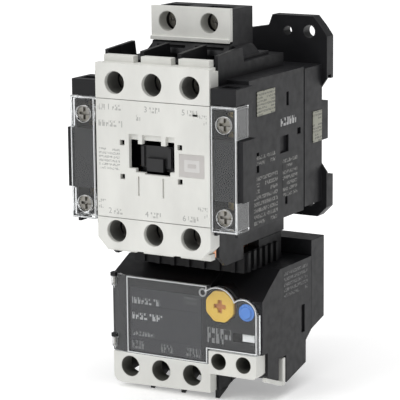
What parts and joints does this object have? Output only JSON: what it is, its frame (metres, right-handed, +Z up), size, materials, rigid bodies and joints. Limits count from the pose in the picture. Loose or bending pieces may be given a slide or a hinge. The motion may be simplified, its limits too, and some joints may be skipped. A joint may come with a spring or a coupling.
{
  "type": "magnetic motor starter",
  "caption": "Three-pole contactor with coil terminals on top, clear-lidded auxiliary contacts and a thermal overload relay with current dial and reset hung underneath.",
  "frame": {"origin": "centre of the four-hole mounting pattern on the mounting plane", "axes": "+X to the right seen from the front, +Y into the panel, +Z up"},
  "size_m": [0.068, 0.0702, 0.1358],
  "materials": {
    "ivory_plastic": "fine moulded satin",
    "black_plastic": "moulded satin, lightly speckled with glass fibre",
    "actuator_plastic": "moulded satin",
    "clear_plastic": "clear polished",
    "core_steel": "laminated, ground pole faces",
    "copper": "bare copper",
    "winding_copper": "enamelled wire",
    "brass": "satin",
    "zinc_steel": "zinc plated",
    "spring_steel": "bright",
    "bobbin_plastic": "natural nylon",
    "cushion_rubber": "matt",
    "label_film": null,
    "nameplate_grey": null,
    "bimetal": "rolled",
    "heater_alloy": "oxidised",
    "slider_plastic": "satin",
    "indicator_white": "satin",
    "dial_amber": "satin gloss",
    "reset_blue": "satin gloss"
  },
  "bodies": {
    "starter": {"base_frame": "black_plastic", "arc_housing": "black_plastic", "front_cover": "ivory_plastic", "line_shroud": "ivory_plastic", "load_shroud": "ivory_plastic", "fixed_core": "core_steel", "shading_rings": "copper", "core_cushions": "cushion_rubber", "coil_bobbin": "bobbin_plastic", "coil_winding": "winding_copper", "return_springs": "spring_steel", "screw_guides": "black_plastic", "line_contacts": "copper", "load_contacts": "copper", "line_screws": "zinc_steel", "load_screws": "zinc_steel", "line_clamps": "zinc_steel", "load_clamps": "zinc_steel", "arc_plates": "core_steel", "coil_terminal_block": "black_plastic", "coil_terminal_cover": "ivory_plastic", "coil_terminals": "brass", "coil_screws": "zinc_steel", "aux_block_left": "black_plastic", "aux_block_right": "black_plastic", "aux_terminals": "brass", "aux_screws": "zinc_steel", "housing_screws": "zinc_steel", "latch_spring": "spring_steel", "side_labels": "label_film", "relay_back": "black_plastic", "relay_housing": "black_plastic", "relay_neck": "black_plastic", "relay_load_cover": "ivory_plastic", "relay_aux_cover": "ivory_plastic", "relay_nameplate": "nameplate_grey", "connector_blades": "copper", "bimetal_strips": "bimetal", "heater_strips": "heater_alloy", "relay_load_terminals": "brass", "relay_load_screws": "zinc_steel", "relay_aux_terminals": "brass", "relay_aux_screws": "zinc_steel", "reset_spring": "spring_steel", "hinge_pins": "zinc_steel", "relay_foot": "ivory_plastic"},
    "armature": {"crossbar": "actuator_plastic", "moving_core": "core_steel", "contact_bridges": "copper", "contact_springs": "spring_steel", "aux_bridges": "copper"},
    "rail_latch_slider": {"rail_latch": "black_plastic"},
    "aux_lid_left": {"aux_cover_left": "clear_plastic"},
    "aux_lid_right": {"aux_cover_right": "clear_plastic"},
    "relay_lid": {"relay_clear_cover": "clear_plastic"},
    "dial": {"current_dial": "dial_amber", "dial_cam": "slider_plastic"},
    "reset": {"reset_button": "reset_blue"},
    "trip_bar": {"trip_slider": "slider_plastic"},
    "trip_flag": {"trip_indicator": "indicator_white"}
  },
  "joints": [
    {"name": "armature_pull_in", "type": "slide", "parent": "starter", "child": "armature", "axis": [0, 1, 0], "range_m": [0, 0.0039], "stiffness_N_per_m": 800, "springref_m": -0.002, "deforming": ["return_springs"]},
    {"name": "rail_latch_release", "type": "slide", "parent": "starter", "child": "rail_latch_slider", "axis": [0, 0, -1], "range_m": [0, 0.003], "stiffness_N_per_m": 600, "springref_m": -0.001, "deforming": ["latch_spring"]},
    {"name": "aux_lid_left_pull", "type": "slide", "parent": "starter", "child": "aux_lid_left", "axis": [0, -1, 0], "range_m": [0, 0.012]},
    {"name": "aux_lid_right_pull", "type": "slide", "parent": "starter", "child": "aux_lid_right", "axis": [0, -1, 0], "range_m": [0, 0.012]},
    {"name": "relay_lid_hinge", "type": "hinge", "parent": "starter", "child": "relay_lid", "pos_m": [-0.0287, -0.0499, -0.068], "axis": [0, 0, -1], "range_deg": [0, 110]},
    {"name": "dial_turn", "type": "hinge", "parent": "starter", "child": "dial", "pos_m": [0.0139, -0.049, -0.0602], "axis": [0, -1, 0], "range_deg": [-135, 135]},
    {"name": "reset_press", "type": "slide", "parent": "starter", "child": "reset", "axis": [0, 1, 0], "range_m": [0, 0.0022], "stiffness_N_per_m": 300, "springref_m": -0.001, "deforming": ["reset_spring"]},
    {"name": "trip_slide", "type": "slide", "parent": "starter", "child": "trip_bar", "axis": [1, 0, 0], "range_m": [0, 0.002]},
    {"name": "trip_flag_slide", "type": "slide", "parent": "starter", "child": "trip_flag", "axis": [-1, 0, 0], "range_m": [0, 0.003]}
  ],
  "couplings": [
    {"joint": "trip_flag_slide", "follows": "trip_slide", "ratio": 1.5}
  ]
}
